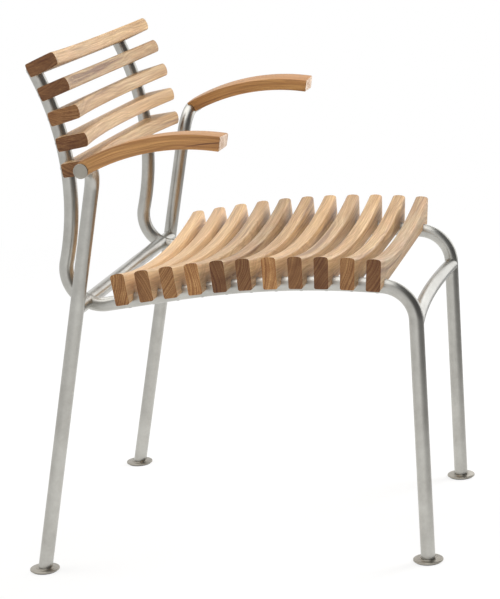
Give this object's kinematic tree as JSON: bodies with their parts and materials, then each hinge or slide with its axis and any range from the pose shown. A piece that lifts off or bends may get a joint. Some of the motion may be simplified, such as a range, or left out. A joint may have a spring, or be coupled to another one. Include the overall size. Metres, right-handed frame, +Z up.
{
  "type": "outdoor armchair",
  "caption": "Upright outdoor armchair with a bent stainless steel tube frame and dished teak slats for seat and back, arched teak armrests and round disc feet.",
  "frame": {"origin": "on the floor, in the middle of the four feet", "axes": "+Z up, -Y towards the front of the seat, +X towards the left arm of the person who sits in it"},
  "size_m": [0.6316, 0.5788, 0.7289],
  "materials": {
    "stainless_steel": "satin",
    "slat_teak": "bare teak, finely sanded",
    "arm_teak": "bare teak, finely sanded",
    "glide_plastic": "matt"
  },
  "bodies": {
    "root": {"arm_tenon_left": "stainless_steel", "arm_tenon_right": "stainless_steel", "armrest_left": "arm_teak", "armrest_right": "arm_teak", "back_slat_1": "slat_teak", "back_slat_2": "slat_teak", "back_slat_3": "slat_teak", "back_slat_4": "slat_teak", "back_slat_5": "slat_teak", "foot_disc_front_left": "stainless_steel", "foot_disc_front_right": "stainless_steel", "foot_disc_rear_left": "stainless_steel", "foot_disc_rear_right": "stainless_steel", "foot_glide_front_left": "glide_plastic", "foot_glide_front_right": "glide_plastic", "foot_glide_rear_left": "glide_plastic", "foot_glide_rear_right": "glide_plastic", "front_cross_tube": "stainless_steel", "leg_cap_left": "stainless_steel", "leg_cap_right": "stainless_steel", "leg_spacer_left": "stainless_steel", "leg_spacer_right": "stainless_steel", "rear_cross_tube": "stainless_steel", "rear_leg_left": "stainless_steel", "rear_leg_right": "stainless_steel", "seat_slat_01": "slat_teak", "seat_slat_02": "slat_teak", "seat_slat_03": "slat_teak", "seat_slat_04": "slat_teak", "seat_slat_05": "slat_teak", "seat_slat_06": "slat_teak", "seat_slat_07": "slat_teak", "seat_slat_08": "slat_teak", "seat_slat_09": "slat_teak", "seat_slat_10": "slat_teak", "seat_slat_11": "slat_teak", "side_tube_left": "stainless_steel", "side_tube_right": "stainless_steel"}
  },
  "joints": []
}
